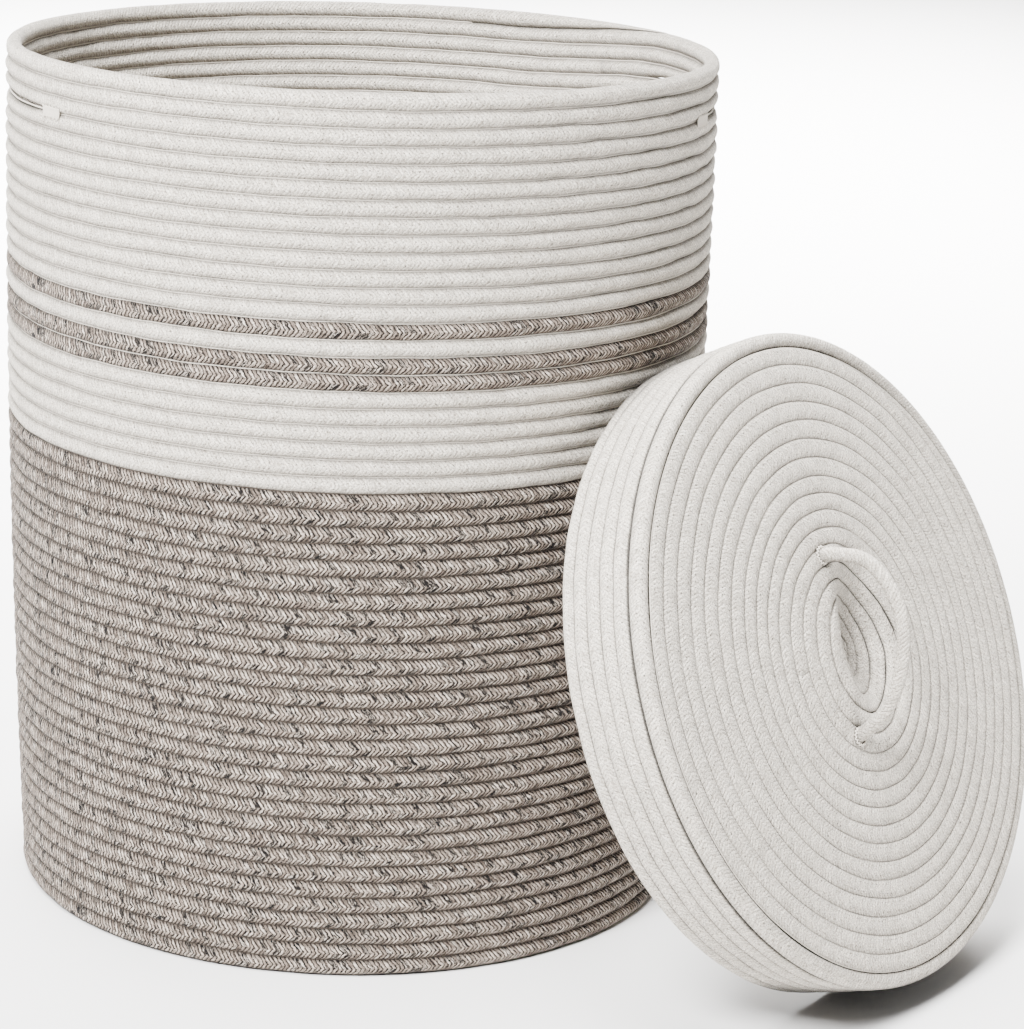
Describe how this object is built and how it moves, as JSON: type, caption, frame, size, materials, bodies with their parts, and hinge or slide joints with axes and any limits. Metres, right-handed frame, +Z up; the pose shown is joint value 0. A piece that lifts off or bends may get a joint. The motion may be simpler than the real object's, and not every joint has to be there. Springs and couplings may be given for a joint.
{
  "type": "laundry hamper with lid",
  "caption": "Round coiled cotton rope laundry hamper, white over heather grey with stripes, hand slits near the rim and a separate lid with a rope handle.",
  "frame": {"origin": "centre of the basket's base, on the floor", "axes": "+Z up along the basket's axis; +Y is away from the viewer, so the lid leans on the front right side"},
  "size_m": [0.6196, 0.5448, 0.508],
  "materials": {
    "white_rope": "matte",
    "heather_rope": "matte",
    "sewing_thread": "matte"
  },
  "bodies": {
    "basket": {"base_core": "heather_rope", "base_coil": "heather_rope", "base_seam_thread": "sewing_thread", "lower_wall": "heather_rope", "middle_band": "white_rope", "double_stripe": "heather_rope", "spacer_row": "white_rope", "single_stripe": "heather_rope", "upper_wall": "white_rope", "rim_band": "white_rope", "hand_slit_tacks": "sewing_thread", "wall_seam_thread": "sewing_thread"},
    "lid": {"lid_core": "white_rope", "lid_recess": "white_rope", "lid_face": "white_rope", "lid_corner_row": "white_rope", "lid_wall": "white_rope", "lid_handle": "white_rope", "lid_handle_tacks": "sewing_thread", "lid_seam_thread": "sewing_thread"}
  },
  "joints": [
    {"name": "lid_pull", "type": "slide", "parent": "basket", "child": "lid", "axis": [0.7088, -0.5947, 0.3795], "range_m": [0, 0.25]}
  ]
}
